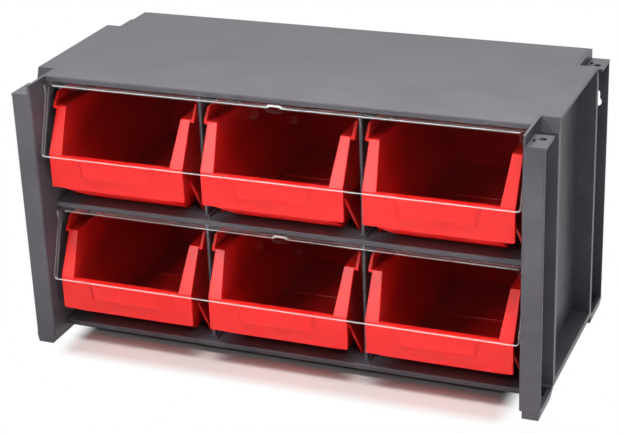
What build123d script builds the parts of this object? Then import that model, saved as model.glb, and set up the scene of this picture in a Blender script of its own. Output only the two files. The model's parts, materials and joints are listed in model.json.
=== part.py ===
from build123d import *
import os
from math import atan2, degrees, hypot, radians, tan

# Wall bin cabinet: a dark plastic rack with rows of pull-out hopper bins behind clear lift-up flaps.
# Lengths are in millimetres. X runs across, Y runs back from the front of the posts and Z runs up from
# the feet. Each finished piece is then moved so that the origin lies under the middle of the cabinet.

# Whole cabinet
cabinet_width = 390.0
cabinet_depth = 188.0
cabinet_height = 206.0
base_level = 10.0       # top of the bottom panel
stack_drop = 7.0        # how far the stacking tabs lie below the top
fit_gap = 0.15          # play between pieces that plug together
overrun = 1.0           # how far a cutting shape passes the face that it cuts

row_names = ("lower", "upper")
bay_names = ("left", "middle", "right")

# Side panels
side_wall = 2.0
rib_reach = 13.0        # how far the ribs and flanges stand out from the wall
post_flange = 2.0
post_depth = 36.0       # from the front of the post to its rib
post_rib = 5.0
lead_in_height = 10.0   # sloping front of the rib that guides a foot into its pocket
lead_in_depth = 4.0
tab_length = 24.0
tab_thickness = 2.0
tab_hole_radius = 2.6
tab_hole_back = 16.0    # from the front of the post
tab_hole_out = 7.4      # from the wall
tab_slot_back = 12.5
tab_slot_out = 2.4
tab_slot_length = 5.0
tab_slot_width = 2.0
foot_rise = 6.0
foot_rear_gap = 2.0     # between a foot and the rib behind it
foot_taper = 1.1
foot_gap = 0.3          # play of a foot beside the wall below it when cabinets are stacked
foot_wall = 2.0
tray_rim_level = 7.5
tray_rim_height = 5.0
key_drop = 39.6         # from the cabinet's top to the keyhole's round end
key_out = 4.7           # from the wall
key_head_radius = 3.8
key_shank_radius = 2.4
key_rise = 6.7
post_round = 1.8        # inner corners of the posts
edge_round = 0.8
thin_share = 0.9        # most of a wall's thickness that a rounded edge may take

# Top panel, middle shelf and bottom panel
panel_front = 23.0
panel_thickness = 2.0
panel_lip_height = 4.0
panel_lip = 2.0
panel_round = 1.2
tongue_margin = 1.0
guide_height = 2.0
guide_width = 1.5

# Dividers and back panel
divider_thickness = 2.0
divider_setback = 2.5   # behind the panel's front lip
back_thickness = 2.0
back_tongue_height = 24.0

# Flaps
flap_thickness = 1.6
flap_end_gap = 1.5      # between the flap and the side wall
flap_lap = 0.8          # how far the flap hangs over the bins' front panels
flap_gap = 0.6          # between the closed flap and the bins
flap_corner = 3.0
flap_edge_round = 0.4
flap_shelf = 5.0        # stiffening strip along the top edge
flap_return = 4.0       # depth of the ends, which turn back from the sheet
flap_return_wall = 1.0
hinge_lead = 1.8        # hinge line in front of the panel's lip
hinge_drop = 6.8        # hinge line below the panel's top
pin_radius = 1.5
pin_play = 0.06
pin_end_gap = 0.2
knuckle_radius = 2.5
knuckle_width = 5.0
knuckle_length = 8.0
loop_width = 12.0
loop_height = 5.2
loop_thickness = 2.4
loop_wire = 1.5
mark_radius = 2.2
mark_height = 0.35
mark_offset = 15.0
mark_drop = 6.0
stop_width = 8.0
stop_height = 1.2
stop_inset = 6.0
stop_rise = 9.0

# Bins
bin_front = 8.0         # front panel of a bin behind the front of the posts
bin_rear_gap = 0.8
bin_side_gap = 2.6
bin_seat_gap = 0.2
bin_headroom = 11.8     # between the rim and the panel above
bin_wall = 2.0
bin_draft = 5.4         # slope of the side walls in degrees
rim_overhang = 7.4
rim_height = 9.4        # rim wall above the ledge that it stands on
rim_lean = 7.0          # how far the rim's front ends lean back
rim_front = 17.5
rim_rear = 4.0
rim_round = 0.8
bevel_rise = 18.0
bevel_run = 31.0
front_height = 25.0
front_inset = 3.0       # front panel and flanges inside the rim's width
front_round = 0.7
front_corner = 1.2
front_lip_depth = 1.2
front_lip_height = 2.0
rail_inset = 2.6
rail_rise = 23.0
pad_width = 62.0
pad_lean = 3.0
pad_height = 16.0
pad_raise = 1.8
pad_slope = 2.5
floor_rib_back = 107.0  # low rib across the floor, from the front panel
floor_rib_width = 1.2
floor_rib_height = 0.5

# Places that several pieces share
half_width = cabinet_width / 2
row_count = len(row_names)
row_pitch = (cabinet_height - base_level) / row_count
levels = [base_level + row_pitch * row for row in range(row_count + 1)]
tab_level = cabinet_height - stack_drop
wall_out = half_width - rib_reach
wall_in = wall_out - side_wall
post_end = post_depth + post_rib
foot_length = post_depth - foot_rear_gap
panel_half = wall_in - fit_gap
back_rear = cabinet_depth - panel_lip - fit_gap
back_front = back_rear - back_thickness
tongue_front = panel_front + panel_lip
tongue_rear = post_depth - tongue_margin
tongue_spans = [(tongue_front, tongue_rear), (cabinet_depth - tongue_rear, cabinet_depth - tongue_front)]
back_tongue_levels = [level + row_pitch / 2 for level in levels[:-1]]
divider_front = panel_front + panel_lip + divider_setback
divider_rear = back_front - panel_lip - 2 * fit_gap
bay_width = 2 * wall_in / len(bay_names)
divider_places = [bay_width * bay - wall_in for bay in range(1, len(bay_names))]
hinge_y = panel_front - hinge_lead
hinge_levels = [level - hinge_drop for level in levels[1:]]
mid_depth = Plane.XZ.offset(-cabinet_depth / 2)


def block(x0, x1, y0, y1, z0, z1):
    corner = (Align.MIN, Align.MIN, Align.MIN)
    return Pos(x0, y0, z0) * Box(x1 - x0, y1 - y0, z1 - z0, align=corner)


def outline(points):
    return make_face(Polyline(*points, close=True))


# Outline in Y and Z, swept across
def across_prism(points, x0, x1):
    return extrude(Pos(x0, 0, 0) * (Plane.YZ * outline(points)), x1 - x0, dir=(1, 0, 0))


# Outline in X and Z, swept from front to back
def depth_prism(points, y0, y1):
    return extrude(Pos(0, y0, 0) * (Plane.XZ * outline(points)), y1 - y0, dir=(0, 1, 0))


def upright_hole(x, y, z0, z1, radius):
    return Pos(x, y, (z0 + z1) / 2) * Cylinder(radius, z1 - z0)


def cross_rod(x0, x1, y, z, radius):
    return Pos((x0 + x1) / 2, y, z) * Rot(0, 90, 0) * Cylinder(radius, x1 - x0)


def both_sides(shape):
    return shape + mirror(shape, about=Plane.YZ)


def both_ends(shape):
    return shape + mirror(shape, about=mid_depth)


# Hollow foot under a post, with its floor below and its mouth open to the post's channel
def post_foot():
    inner = wall_out + foot_gap
    rim = foot_rise + foot_wall
    section = [
        (inner, 0),
        (half_width - foot_taper, 0),
        (half_width, foot_rise),
        (half_width, rim),
        (wall_out, rim),
        (wall_out, foot_rise),
        (inner, foot_rise),
    ]
    foot = depth_prism(section, 0, foot_length)
    foot = fillet(foot.edges().filter_by(Axis.X).group_by(Axis.Z)[0], min(edge_round, foot_wall / 2))
    hollow = block(
        inner + foot_wall,
        half_width - foot_taper - foot_wall,
        post_flange,
        foot_length - foot_wall,
        foot_wall,
        rim + overrun,
    )
    bolt = upright_hole(wall_out + tab_hole_out, tab_hole_back, -overrun, rim, tab_hole_radius)
    web_top = tray_rim_level + foot_wall
    web = block(wall_out, half_width, foot_length - foot_wall, post_depth, foot_rise, web_top)
    return foot - hollow - bolt + web


# C-shaped post: front flange, rib behind it, stacking tab on top and foot below
def front_post():
    flange = block(wall_out, half_width, 0, post_flange, foot_rise, tab_level)
    corner = flange.edges().filter_by(Axis.Z).group_by(Axis.Y)[0].sort_by(Axis.X)[-1]
    flange = fillet(corner, min(edge_round, post_flange / 2))
    rib = block(wall_out, half_width, post_depth, post_end, tray_rim_level, cabinet_height)
    lead_in = across_prism(
        [
            (post_depth, cabinet_height - lead_in_height),
            (post_depth + lead_in_depth, cabinet_height),
            (post_depth, cabinet_height),
        ],
        wall_out,
        half_width,
    )
    tab = block(wall_out, half_width, 0, tab_length, tab_level - tab_thickness, tab_level)
    tab -= upright_hole(
        wall_out + tab_hole_out, tab_hole_back, tab_level - tab_thickness, tab_level, tab_hole_radius
    )
    slot_side = wall_out + tab_slot_out - tab_slot_width / 2
    tab -= block(
        slot_side,
        slot_side + tab_slot_width,
        tab_slot_back - tab_slot_length / 2,
        tab_slot_back + tab_slot_length / 2,
        tab_level - tab_thickness,
        tab_level,
    )
    return flange + (rib - lead_in) + tab + post_foot()


# Right-hand side panel, in one moulding
def side_panel():
    wall = block(wall_in, wall_out, 0, cabinet_depth, foot_rise, cabinet_height)
    corners = wall.edges().filter_by(Axis.Z).sort_by(Axis.X)[:2]
    wall = fillet(corners, min(post_round, thin_share * side_wall))
    cut_in = wall_in - overrun
    cut_out = wall_out + overrun
    ear_seat = levels[-1] - panel_thickness
    above = cabinet_height + overrun
    wall -= block(cut_in, cut_out, post_end, cabinet_depth - post_end, ear_seat, above)
    for level in levels[:-1]:
        for start, end in tongue_spans:
            wall -= block(
                cut_in,
                cut_out,
                start - fit_gap,
                end + fit_gap,
                level - panel_thickness - fit_gap,
                level + fit_gap,
            )
    for level in back_tongue_levels:
        reach = back_tongue_height / 2 + fit_gap
        wall -= block(
            cut_in,
            cut_out,
            back_front - fit_gap,
            back_rear + fit_gap,
            level - reach,
            level + reach,
        )
    for level in hinge_levels:
        wall -= cross_rod(cut_in, cut_out, hinge_y, level, pin_radius + pin_play)
    tray_rim = block(
        wall_out,
        half_width,
        post_end,
        cabinet_depth - post_end,
        tray_rim_level,
        tray_rim_level + tray_rim_height,
    )
    panel = wall + both_ends(front_post()) + tray_rim
    key_x = wall_out + key_out
    key_z = cabinet_height - key_drop
    head = Pos(key_x, key_z) * Circle(key_head_radius)
    slot = Pos(key_x, key_z + key_rise / 2) * Rectangle(2 * key_shank_radius, key_rise)
    slot_end = Pos(key_x, key_z + key_rise) * Circle(key_shank_radius)
    keyhole = Pos(0, cabinet_depth - post_flange - overrun, 0) * (Plane.XZ * (head + slot + slot_end))
    return panel - extrude(keyhole, post_flange + 2 * overrun, dir=(0, 1, 0))


# Guides that hold the edges of the dividers, upwards from z0 to z1
def divider_guides(z0, z1):
    near = divider_thickness / 2 + fit_gap
    pair = both_sides(block(near, near + guide_width, divider_front, divider_rear, z0, z1))
    guides = Pos(divider_places[0], 0, 0) * pair
    for place in divider_places[1:]:
        guides += Pos(place, 0, 0) * pair
    return guides


# Plate with a lip hanging from all four edges
def lipped_plate(level, rear):
    under = level - panel_thickness
    hang = level - panel_lip_height
    plate = block(-panel_half, panel_half, panel_front, rear, hang, level)
    front_edge = plate.edges().filter_by(Axis.X).group_by(Axis.Y)[0].sort_by(Axis.Z)[-1]
    plate = fillet(front_edge, min(panel_round, panel_lip / 2))
    hollow = block(
        panel_lip - panel_half,
        panel_half - panel_lip,
        panel_front + panel_lip,
        rear - panel_lip,
        hang - overrun,
        under,
    )
    return plate - hollow


def plate_tongues(level):
    tongues = None
    for start, end in tongue_spans:
        tongue = block(panel_half - panel_lip, wall_out, start, end, level - panel_thickness, level)
        tongues = tongue if tongues is None else tongues + tongue
    return both_sides(tongues)


def top_panel():
    level = levels[-1]
    under = level - panel_thickness
    ears = block(-half_width, half_width, post_end, cabinet_depth - post_end, under, level)
    guides = divider_guides(under - guide_height, under)
    return lipped_plate(level, cabinet_depth) + ears + guides


def middle_shelf(level):
    under = level - panel_thickness
    guides = divider_guides(level, level + guide_height) + divider_guides(under - guide_height, under)
    return lipped_plate(level, back_front - fit_gap) + plate_tongues(level) + guides


def bottom_panel():
    level = levels[0]
    guides = divider_guides(level, level + guide_height)
    return lipped_plate(level, cabinet_depth) + plate_tongues(level) + guides


# Plate between the side panels, notched at its top corners for the top panel's lips
def back_panel():
    under = levels[-1] - panel_thickness
    panel = block(-panel_half, panel_half, back_front, back_rear, levels[0], under)
    notch_side = panel_half - panel_lip - fit_gap
    notch_low = levels[-1] - panel_lip_height - fit_gap
    panel -= both_sides(block(notch_side, panel_half, back_front, back_rear, notch_low, under))
    for level in back_tongue_levels:
        reach = back_tongue_height / 2
        panel += block(-wall_out, wall_out, back_front, back_rear, level - reach, level + reach)
    return panel


def divider(place, row):
    side = divider_thickness / 2
    return block(
        place - side,
        place + side,
        divider_front,
        divider_rear,
        levels[row],
        levels[row + 1] - panel_thickness,
    )


# Flap as it hangs closed: the sheet leans forward over the bins from its hinge line
def flap(row):
    hinge_z = hinge_levels[row]
    low_edge = levels[row] + bin_seat_gap + bevel_rise + front_height - flap_lap
    low_y = bin_front - pad_raise - flap_gap - flap_thickness / 2
    lean = degrees(atan2(hinge_y - low_y, hinge_z - low_edge))
    reach = hypot(hinge_y - low_y, hinge_z - low_edge)
    side = wall_in - flap_end_gap
    face = flap_thickness / 2
    sheet = block(-side, side, -face, flap_return - face, -reach, face)
    sheet = fillet(sheet.edges().filter_by(Axis.Y).group_by(Axis.Z)[0], flap_corner)
    sheet = fillet(sheet.faces().sort_by(Axis.Y)[0].edges(), min(flap_edge_round, face / 2))
    end = side - flap_return_wall
    sheet -= block(-end, end, face, flap_return, -reach - overrun, face + overrun)
    loop = extrude(Plane.XZ * SlotOverall(loop_width, loop_height), loop_thickness / 2, both=True)
    eye = extrude(
        Plane.XZ * SlotOverall(loop_width - 2 * loop_wire, loop_height - 2 * loop_wire),
        loop_thickness,
        both=True,
    )
    mark = Pos(mark_offset, -face, -mark_drop) * Rot(90, 0, 0) * Cylinder(mark_radius, 2 * mark_height)
    stop = block(
        side - stop_inset - stop_width,
        side - stop_inset,
        face,
        face + stop_height,
        stop_rise - reach,
        stop_rise - reach + stop_height,
    )
    sheet = sheet + loop + both_sides(mark) + both_sides(stop)
    strip = block(-side, side, 0, flap_shelf, -face, face)
    strip -= block(-loop_width / 2, loop_width / 2, 0, flap_shelf - face, -face, face)
    knuckle_face = Rot(0, 0, 90) * SlotOverall(knuckle_length, 2 * knuckle_radius)
    knuckle_drop = knuckle_length / 2 - knuckle_radius
    knuckle = extrude(
        Pos(side - knuckle_width, 0, -knuckle_drop) * (Plane.YZ * knuckle_face),
        knuckle_width,
        dir=(1, 0, 0),
    )
    pin = cross_rod(side - overrun, wall_out - pin_end_gap, 0, 0, pin_radius)
    hung = Rot(-lean, 0, 0) * (sheet - eye + both_sides(knuckle))
    return Pos(0, hinge_y, hinge_z) * (hung + strip + both_sides(pin))


# Hopper bin with its front panel's face at Y 0 and its floor's underside at Z 0
def hopper_bin():
    height = row_pitch - panel_thickness - bin_headroom - bin_seat_gap
    length = back_front - bin_rear_gap - bin_front
    bay = bay_width - divider_thickness
    rim_half = bay / 2 - bin_side_gap
    front_half = rim_half - front_inset
    rail_half = rim_half - rail_inset
    slope = tan(radians(bin_draft))
    top_half = rim_half - rim_overhang
    base_half = top_half - height * slope
    front_top = bevel_rise + front_height
    ledge = height - rim_height
    tub_rear = length - rim_rear
    bevel_angle = atan2(bevel_rise, bevel_run)
    inner_rise = bevel_rise + bin_wall / tan((radians(90) + bevel_angle) / 2)
    inner_run = bevel_run + bin_wall / tan((radians(180) - bevel_angle) / 2)
    inner_rear = tub_rear - bin_wall
    above = height + overrun

    def taper(half):
        return [(-half, 0), (half, 0), (half + above * slope, above), (-half - above * slope, above)]

    outer_side = [
        (bevel_run, 0),
        (tub_rear, 0),
        (tub_rear, ledge),
        (rim_front, ledge),
        (0, front_top),
        (0, bevel_rise),
    ]
    inner_side = [
        (bin_wall, above),
        (bin_wall, inner_rise),
        (inner_run, bin_wall),
        (inner_rear, bin_wall),
        (inner_rear, above),
    ]
    mouth = depth_prism(taper(base_half - bin_wall), -overrun, inner_rear)
    inside = across_prism(inner_side, -rim_half, rim_half) & mouth
    tub = across_prism(outer_side, -rim_half, rim_half) & depth_prism(taper(base_half), 0, tub_rear)

    front = block(-front_half, front_half, 0, bin_wall, bevel_rise, front_top)
    front = fillet(front.edges().filter_by(Axis.Y).group_by(Axis.Z)[0], front_corner)
    low_edges = front.faces().sort_by(Axis.Y)[0].edges().sort_by(Axis.Z)[:-1]
    front = fillet(low_edges, min(front_round, bin_wall / 2))
    flange_run = bin_wall * hypot(rim_front, ledge - front_top) / (ledge - front_top)
    flanges = across_prism(
        [
            (0, front_top),
            (rim_front, ledge),
            (rim_front + flange_run, ledge),
            (flange_run, front_top),
        ],
        -front_half,
        front_half,
    )
    outer_edges = flanges.faces().sort_by(Axis.Y)[0].edges().sort_by(Axis.X)
    flanges = fillet([outer_edges[0], outer_edges[-1]], min(front_round, bin_wall / 2))

    rim = across_prism(
        [
            (rim_front, ledge - bin_wall),
            (length, ledge - bin_wall),
            (length, height),
            (rim_front + rim_lean, height),
            (rim_front, ledge),
        ],
        -rim_half,
        rim_half,
    )
    rim = fillet(rim.faces().sort_by(Axis.Z)[-1].edges(), min(rim_round, bin_wall / 2))
    rim -= block(bin_wall - rim_half, rim_half - bin_wall, 0, length - bin_wall, ledge, above)

    rail_top = base_half + rail_rise * slope
    rail = depth_prism(
        [
            (rail_half - bin_wall, 0),
            (rail_half, 0),
            (rail_top, rail_rise),
            (rail_top - bin_wall, rail_rise),
        ],
        bevel_run,
        tub_rear,
    )

    lip_top = base_half - bin_wall / 2 + front_top * slope
    front_lip = block(
        -lip_top, lip_top, 0, bin_wall + front_lip_depth, front_top - front_lip_height, front_top
    )

    pad_top = pad_width / 2
    pad_low = pad_top - pad_lean
    pad_base = front_top - pad_height
    broad = [(-pad_low, pad_base), (pad_low, pad_base), (pad_top, front_top), (-pad_top, front_top)]
    narrow = [
        (pad_slope - pad_low, pad_base + pad_slope),
        (pad_low - pad_slope, pad_base + pad_slope),
        (pad_top - pad_slope, front_top),
        (pad_slope - pad_top, front_top),
    ]
    pad = loft([Plane.XZ * outline(broad), Pos(0, -pad_raise, 0) * (Plane.XZ * outline(narrow))])

    rib_half = base_half - bin_wall / 2
    floor_rib = block(
        -rib_half,
        rib_half,
        floor_rib_back - floor_rib_width / 2,
        floor_rib_back + floor_rib_width / 2,
        bin_wall / 2,
        bin_wall + floor_rib_height,
    )

    body = tub + front + flanges + rim + both_sides(rail) - inside
    body -= mouth & block(-rim_half, rim_half, -overrun, inner_rear, front_top, above)
    return body + front_lip + pad + floor_rib


def bin_centres():
    faces = [-wall_in]
    for place in divider_places:
        faces += [place - divider_thickness / 2, place + divider_thickness / 2]
    faces.append(wall_in)
    return [(faces[2 * bay] + faces[2 * bay + 1]) / 2 for bay in range(len(bay_names))]


def save(name, shape):
    export_step(Pos(0, -cabinet_depth / 2, 0) * shape, f"parts/{name}.step")


os.makedirs("parts", exist_ok=True)
right_side = side_panel()
save("right_side_panel", right_side)
save("left_side_panel", mirror(right_side, about=Plane.YZ))
save("top_panel", top_panel())
save("middle_shelf", middle_shelf(levels[1]))
save("bottom_panel", bottom_panel())
save("back_panel", back_panel())
for row, row_name in enumerate(row_names):
    save(f"{row_name}_flap", flap(row))
    for place, side_name in zip(divider_places, ("left", "right")):
        save(f"{row_name}_{side_name}_divider", divider(place, row))
one_bin = hopper_bin()
for row, row_name in enumerate(row_names):
    for centre, bay_name in zip(bin_centres(), bay_names):
        seat = levels[row] + bin_seat_gap
        save(f"{row_name}_{bay_name}_bin", Pos(centre, bin_front, seat) * one_bin)
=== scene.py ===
import json
import math

import bmesh
import bpy
from mathutils import Matrix, Vector

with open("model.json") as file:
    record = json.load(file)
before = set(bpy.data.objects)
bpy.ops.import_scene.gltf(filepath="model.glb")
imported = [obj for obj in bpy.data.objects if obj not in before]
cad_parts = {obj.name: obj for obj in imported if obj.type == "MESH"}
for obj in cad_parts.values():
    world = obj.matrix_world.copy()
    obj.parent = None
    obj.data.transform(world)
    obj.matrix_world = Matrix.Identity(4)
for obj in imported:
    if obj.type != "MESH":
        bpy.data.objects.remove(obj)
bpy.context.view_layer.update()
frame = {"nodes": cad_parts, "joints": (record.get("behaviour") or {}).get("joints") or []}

nodes = frame["nodes"]
scene = bpy.context.scene
print("frame loaded:", len(nodes), "nodes")


# shader maths as plain expressions

class Wire:
    def __init__(self, finish, socket):
        self.finish = finish
        self.socket = socket

    def maths(self, operation, first, second):
        return self.finish.add("ShaderNodeMath", {"operation": operation}, {0: first, 1: second})

    def __add__(self, other):
        return self.maths("ADD", self, other)

    __radd__ = __add__

    def __sub__(self, other):
        return self.maths("SUBTRACT", self, other)

    def __rsub__(self, other):
        return self.maths("SUBTRACT", other, self)

    def __mul__(self, other):
        return self.maths("MULTIPLY", self, other)

    __rmul__ = __mul__

    def __pow__(self, other):
        return self.maths("POWER", self, other)

    def size(self):
        return self.maths("ABSOLUTE", self, 0.0)

    def atMost(self, other):
        return self.maths("MINIMUM", self, other)

    def atLeast(self, other):
        return self.maths("MAXIMUM", self, other)


class Finish:
    def __init__(self, name):
        self.material = bpy.data.materials.new(name)
        self.material.use_nodes = True
        self.tree = self.material.node_tree
        self.tree.nodes.clear()
        self.output = self.tree.nodes.new("ShaderNodeOutputMaterial")

    def add(self, kind, settings=None, sockets=None, out=0):
        node = self.tree.nodes.new(kind)
        for name, value in (settings or {}).items():
            setattr(node, name, value)
        for name, value in (sockets or {}).items():
            if isinstance(value, Wire):
                self.tree.links.new(value.socket, node.inputs[name])
            else:
                node.inputs[name].default_value = value
        return Wire(self, node.outputs[out])

    def place(self):
        return self.add("ShaderNodeTexCoord", out="Object")

    def axes(self):
        split = self.add("ShaderNodeSeparateXYZ", None, {0: self.place()})
        return [Wire(self, socket) for socket in split.socket.node.outputs]

    def noise(self, scale, detail):
        return self.add("ShaderNodeTexNoise", None, {
            "Vector": self.place(), "Scale": scale, "Detail": detail,
        }, "Fac")

    def band(self, value, low, high):     # 0 below low, 1 above high
        return self.add("ShaderNodeMapRange", {"interpolation_type": "SMOOTHSTEP"}, {
            "Value": value, "From Min": low, "From Max": high, "To Min": 0.0, "To Max": 1.0,
        })

    def blendColours(self, share, first, second):
        return self.add("ShaderNodeMix", {"data_type": "RGBA"}, {0: share, 6: first, 7: second}, 2)

    def softEdge(self, radius):           # normal with the edges rounded off
        return self.add("ShaderNodeBevel", {"samples": 6}, {"Radius": radius})

    def edgeShare(self, rounded):         # 0 on a face, towards 1 on an edge
        face = self.add("ShaderNodeNewGeometry", None, None, "Normal")
        same = self.add("ShaderNodeVectorMath", {"operation": "DOT_PRODUCT"}, {0: rounded, 1: face}, "Value")
        return 1.0 - same

    def bump(self, height, strength, depth, normal):
        return self.add("ShaderNodeBump", None, {
            "Height": height, "Strength": strength, "Distance": depth, "Normal": normal,
        })

    def surface(self, sockets):
        shader = self.add("ShaderNodeBsdfPrincipled", None, sockets)
        self.tree.links.new(shader.socket, self.output.inputs["Surface"])
        return self.material


# cabinet: dark grey plastic with a fine moulded grain, a little cloudy and scuffed, with a painted highlight
# along its edges

cabinetLook = {
    "colour": (0.070, 0.065, 0.077, 1.0),
    "paler": (0.100, 0.093, 0.108, 1.0),
    "paleFrom": 1.10,            # sum of the shares where the paler colour sets in
    "roughness": 0.23,
    "gloss": 0.28,
    "grainScale": 2400.0,        # per metre
    "grainShare": 0.3,
    "grainRoughness": 0.06,
    "grainDepth": 0.00004,
    "grainStrength": 0.25,
    "waveScale": 22.0,           # slow unevenness of the moulded walls
    "waveDepth": 0.0004,
    "waveStrength": 0.5,
    "cloudScale": 26.0,
    "cloudShare": 2.6,
    "cloudRoughness": 0.22,
    "scuffScale": 11.0,
    "scuffWidth": 0.006,         # share of the noise's range
    "scuffShare": 0.9,
    "placeScale": 27.5,          # where the scuffs lie
    "placeBand": (0.56, 0.66),
    "edgeRadius": 0.0007,
    # painted highlight: how far onto the rounded edges the paler colour reaches, and how much of it
    "edgeHighlightBand": (0.02, 0.30),
    "edgeHighlightShare": 0.2,
}


def cabinetPlastic():
    look = cabinetLook
    finish = Finish("cabinetPlastic")
    rounded = finish.softEdge(look["edgeRadius"])
    grain = finish.noise(look["grainScale"], 3.0)
    wave = finish.noise(look["waveScale"], 2.0)
    cloud = finish.noise(look["cloudScale"], 5.0)
    # painted highlight: the paler colour laid along the rounded edges
    edgeHighlight = finish.band(finish.edgeShare(rounded), *look["edgeHighlightBand"])

    # hairline scuffs: thin contours of a slow noise, kept in a few places
    ripple = finish.noise(look["scuffScale"], 1.0)
    places = finish.band(finish.noise(look["placeScale"], 1.0), *look["placeBand"])
    scuff = (1 - finish.band((ripple - 0.5).size(), 0.0, look["scuffWidth"])) * places

    # share of the paler colour: random cloud and grain less a base level, the scuffs, and the painted edge
    # highlight
    shade = cloud * look["cloudShare"] + grain * look["grainShare"] - look["paleFrom"]
    shade = shade + edgeHighlight * look["edgeHighlightShare"] + scuff * look["scuffShare"]
    uneven = finish.bump(wave, look["waveStrength"], look["waveDepth"], rounded)
    return finish.surface({
        "Base Color": finish.blendColours(shade.atLeast(0.0).atMost(1.0), look["colour"], look["paler"]),
        "Roughness": look["roughness"] + cloud * look["cloudRoughness"] + grain * look["grainRoughness"],
        "Specular IOR Level": look["gloss"],
        "Normal": finish.bump(grain, look["grainStrength"], look["grainDepth"], uneven),
    })


# bins: red plastic, smooth with a soft gloss, and thin enough to glow a little

binLook = {
    "colour": (0.80, 0.016, 0.014, 1.0),
    "deeper": (0.74, 0.012, 0.010, 1.0),
    "roughness": 0.24,
    "unevenRoughness": 0.06,
    "gloss": 0.32,
    "glow": 0.55,
    "glowReach": (1.0, 0.10, 0.05),
    "glowScale": 0.006,
    "cloudScale": 18.0,
    "grainScale": 1500.0,
    "grainDepth": 0.00003,
    "grainStrength": 0.15,
    "edgeRadius": 0.0008,
}


def binPlastic():
    look = binLook
    finish = Finish("binPlastic")
    rounded = finish.softEdge(look["edgeRadius"])
    grain = finish.noise(look["grainScale"], 2.0)
    cloud = finish.noise(look["cloudScale"], 3.0)
    return finish.surface({
        "Base Color": finish.blendColours(cloud, look["colour"], look["deeper"]),
        "Roughness": look["roughness"] + (cloud + grain) * look["unevenRoughness"],
        "Specular IOR Level": look["gloss"],
        "Subsurface Weight": look["glow"],
        "Subsurface Radius": look["glowReach"],
        "Subsurface Scale": look["glowScale"],
        "Normal": finish.bump(grain, look["grainStrength"], look["grainDepth"], rounded),
    })


# flaps: clear plastic sheet; the white along its edges and bend is painted highlight where light gathers,
# with a painted reflection where the sheet is seen along its surface

flapLook = {
    "colour": (0.93, 0.94, 0.95, 1.0),
    "roughness": 0.08,
    "lean": 18.6,                # degrees that the closed sheet leans out from its hinge line
    "reach": 0.0515,             # from the hinge line to the low edge
    "halfWidth": 0.1785,
    "corner": 0.003,
    "halfThickness": 0.0008,
    "returnDepth": 0.0032,       # turned-back ends, behind the middle of the sheet
    "stripDepth": 0.0050,
    "lineWidth": 0.0006,
    "lineBlur": 0.0004,
    "faceAlpha": 0.0005,
    "stripAlpha": 0.025,
    # white opacity of the painted highlights: the strip's lip, the low edge, the sides, the bend and the
    # sharp edges
    "lipAlpha": 0.10,
    "bottomAlpha": 0.30,
    "sideAlpha": 0.22,
    "bendAlpha": 0.58,
    "detailAlpha": 0.14,
    "detailBand": (0.04, 0.45),
    "rimAlpha": 0.2,             # painted reflection, seen along the surface
    "rimPower": 4,
    "streakScale": 45.0,
    "hazeScale": 40.0,
    "hazeRoughness": 0.05,
    "knuckle": 0.0052,
}


def clearPlastic(name, hinge):
    look = flapLook
    finish = Finish(name + "Plastic")
    x, y, z = finish.axes()
    rise, run = math.cos(math.radians(look["lean"])), math.sin(math.radians(look["lean"]))
    along = (hinge.z - z) * rise + (hinge.y - y) * run        # down the sheet
    behind = (y - hinge.y) * rise + (hinge.z - z) * run       # back from the middle of the sheet
    width, blur = look["lineWidth"], look["lineBlur"]

    # distance in from the outline, round the low corners
    sideways = (x.size() - (look["halfWidth"] - look["corner"])).atLeast(0.0)
    downwards = (along - (look["reach"] - look["corner"])).atLeast(0.0)
    inwards = look["corner"] - (sideways ** 2 + downwards ** 2) ** 0.5
    outline = 1 - finish.band(inwards, width, width + blur)
    low = finish.band(along, look["reach"] - look["corner"], look["reach"] - width)
    front = 1 - finish.band(behind, look["halfThickness"], look["halfThickness"] + blur)
    rear = finish.band(behind, look["returnDepth"] - width, look["returnDepth"] - width + blur)
    onSheet = finish.band(along, 0.0, blur)
    # painted highlight lines along the sides and the low edge
    edge = outline * onSheet * (front.atLeast(rear) * look["sideAlpha"]).atLeast(low * look["bottomAlpha"])

    # painted highlight along the bend at the hinge line, and the strip behind it with a painted highlight
    # line along its lip
    top = 1 - finish.band(along, -blur, 0.0)
    ahead = 1 - finish.band(behind, -blur, 0.0)
    inner = look["halfWidth"] - look["knuckle"]
    between = 1 - finish.band(x.size(), inner - blur, inner)
    streak = finish.noise(look["streakScale"], 2.0) + 0.5
    paintedBendHighlight = top * ahead * between * streak * look["bendAlpha"]
    back = y - (hinge.y + look["halfThickness"])
    strip = finish.band(back, 0.0, blur) * (1 - finish.band(hinge.z - z, width, width + blur))
    lip = finish.band(y - hinge.y, look["stripDepth"] - width, look["stripDepth"] - width + blur)
    ledge = strip * (look["stripAlpha"] + lip * look["lipAlpha"])

    # painted glints along the sheet's sharp edges
    detail = finish.band(finish.edgeShare(finish.softEdge(width)), *look["detailBand"]) * look["detailAlpha"]
    # painted reflection growing where the sheet is seen along its surface; the haze is the sheet's own
    paintedReflection = finish.add("ShaderNodeLayerWeight", None, {"Blend": 0.5}, "Facing")
    haze = finish.noise(look["hazeScale"], 3.0)
    face = look["faceAlpha"] * (0.5 + haze) + paintedReflection ** look["rimPower"] * look["rimAlpha"]
    return finish.surface({
        "Base Color": look["colour"],
        "Roughness": look["roughness"] + haze * look["hazeRoughness"],
        "Alpha": edge.atLeast(paintedBendHighlight).atLeast(ledge).atLeast(detail).atLeast(face).atMost(1.0),
    })


def dress(material, *ends):
    for name, node in nodes.items():
        if name.endswith(ends):
            node.data.materials.clear()
            node.data.materials.append(material)


dress(cabinetPlastic(), "panel", "shelf", "divider")
dress(binPlastic(), "bin")
for joint in frame["joints"]:
    if joint["child"].endswith("flap"):
        dress(clearPlastic(joint["child"], Vector(joint["pos_m"])), joint["child"])
print("finishes set")


# camera, at the photograph's viewing angle

cameraLook = {
    "azimuth": 22.42,            # degrees, from straight in front towards the right
    "elevation": 23.30,
    "roll": -2.19,
    "place": (0.4390, -1.0805, 0.5913),
    "focalPixels": 1701.4,
    "imageWidth": 620,
    "sensorWidth": 36.0,
}


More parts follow.
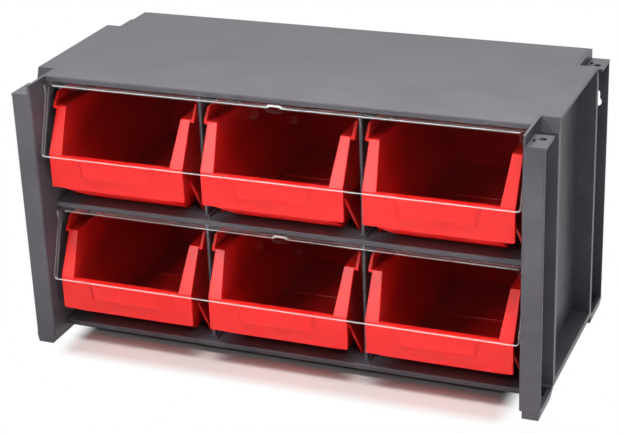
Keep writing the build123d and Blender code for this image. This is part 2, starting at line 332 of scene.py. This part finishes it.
def makeCamera():
    look = cameraLook
    data = bpy.data.cameras.new("camera")
    data.sensor_width = look["sensorWidth"]
    data.lens = look["sensorWidth"] * look["focalPixels"] / look["imageWidth"]
    data.clip_start = 0.05
    camera = bpy.data.objects.new("camera", data)
    turn = Matrix.Rotation(math.radians(look["azimuth"]), 4, "Z")
    tilt = Matrix.Rotation(math.radians(90.0 - look["elevation"]), 4, "X")
    roll = Matrix.Rotation(math.radians(look["roll"]), 4, "Z")
    camera.matrix_world = Matrix.Translation(look["place"]) @ turn @ tilt @ roll
    scene.collection.objects.link(camera)
    scene.camera = camera


makeCamera()


# light: large soft lamps over a pale floor, with white all round and a painted shade on the floor close to
# the cabinet

cabinetMiddle = (0.0, -0.02, 0.10)
lampLook = [                     # azimuth from straight in front towards the right
    {"name": "overhead", "azimuth": 180.0, "elevation": 75.0, "size": 0.6, "spread": 180.0, "power": 18.5,
     "aim": cabinetMiddle},
    {"name": "key", "azimuth": 30.0, "elevation": 62.0, "size": 0.5, "spread": 180.0, "power": 4.5,
     "aim": cabinetMiddle},
    {"name": "left", "azimuth": -24.0, "elevation": 31.0, "size": 0.32, "spread": 180.0, "power": 5.8,
     "aim": cabinetMiddle},
    {"name": "table", "azimuth": 0.0, "elevation": 90.0, "size": 0.9, "spread": 40.0, "power": 12.2,
     "aim": (0.10, -0.72, 0.0)},
    {"name": "rear", "azimuth": 180.0, "elevation": 50.0, "size": 1.0, "spread": 180.0, "power": 3.0,
     "aim": cabinetMiddle},
]
lampReach = 1.6
worldLook = {"light": 0.03, "white": 1.0}
floorLook = {
    "size": 12.0,
    "colour": (0.80, 0.80, 0.80, 1.0),
    "shade": (0.52, 0.48, 0.47, 1.0),     # painted shade: a darker, brownish colour the camera sees close to the footprint, deepening the cast shadow there
    "footprint": (0.160, 0.094),
    "fade": 0.018,               # the floor turns plain white this far from the footprint
}


def makeLamps():
    for look in lampLook:
        data = bpy.data.lights.new(look["name"], "AREA")
        data.size = look["size"]
        data.spread = math.radians(look["spread"])
        data.energy = look["power"]
        lamp = bpy.data.objects.new(look["name"], data)
        turn = Matrix.Rotation(math.radians(look["azimuth"]), 4, "Z")
        tilt = Matrix.Rotation(math.radians(90.0 - look["elevation"]), 4, "X")
        away = Matrix.Translation((0.0, 0.0, lampReach))
        lamp.matrix_world = Matrix.Translation(look["aim"]) @ turn @ tilt @ away
        scene.collection.objects.link(lamp)


def whiteRays(tree):          # 1 for rays that see the white surroundings
    path = tree.nodes.new("ShaderNodeLightPath")
    seen = path.outputs["Is Camera Ray"]
    for name in ("Is Glossy Ray", "Is Transmission Ray"):
        either = tree.nodes.new("ShaderNodeMath")
        either.operation = "MAXIMUM"
        tree.links.new(seen, either.inputs[0])
        tree.links.new(path.outputs[name], either.inputs[1])
        seen = either.outputs[0]
    return seen


def makeWorld():
    world = bpy.data.worlds.new("surroundings")
    scene.world = world
    world.use_nodes = True
    tree = world.node_tree
    strength = tree.nodes.new("ShaderNodeMapRange")
    tree.links.new(whiteRays(tree), strength.inputs["Value"])
    strength.inputs["To Min"].default_value = worldLook["light"]
    strength.inputs["To Max"].default_value = worldLook["white"]
    background = tree.nodes["Background"]
    background.inputs["Color"].default_value = (1.0, 1.0, 1.0, 1.0)
    tree.links.new(strength.outputs[0], background.inputs["Strength"])


def makeFloor():
    mesh = bpy.data.meshes.new("floor")
    shape = bmesh.new()
    bmesh.ops.create_grid(shape, x_segments=1, y_segments=1, size=floorLook["size"] / 2)
    shape.to_mesh(mesh)
    shape.free()
    floor = bpy.data.objects.new("floor", mesh)
    scene.collection.objects.link(floor)
    finish = Finish("floorWhite")
    x, y, z = finish.axes()
    halfWidth, halfDepth = floorLook["footprint"]
    sideways = (x.size() - halfWidth).atLeast(0.0)
    outwards = (y.size() - halfDepth).atLeast(0.0)
    away = (sideways ** 2 + outwards ** 2) ** 0.5
    white = finish.band(away, 0.0, floorLook["fade"])
    seen = Wire(finish, whiteRays(finish.tree))
    # painted shade: camera rays see the darker shade colour close to the footprint, other rays the paler
    # floor colour
    colour = finish.blendColours(seen, floorLook["colour"], floorLook["shade"])
    lit = finish.add("ShaderNodeBsdfDiffuse", None, {"Color": colour})
    glow = finish.add("ShaderNodeEmission", None, {"Color": (1.0, 1.0, 1.0, 1.0)})
    both = finish.add("ShaderNodeMixShader", None, {0: white * seen, 1: lit, 2: glow})
    finish.tree.links.new(both.socket, finish.output.inputs["Surface"])
    mesh.materials.append(finish.material)


makeLamps()
makeWorld()
makeFloor()
scene.view_settings.view_transform = "Standard"
print("camera, lamps and floor set")
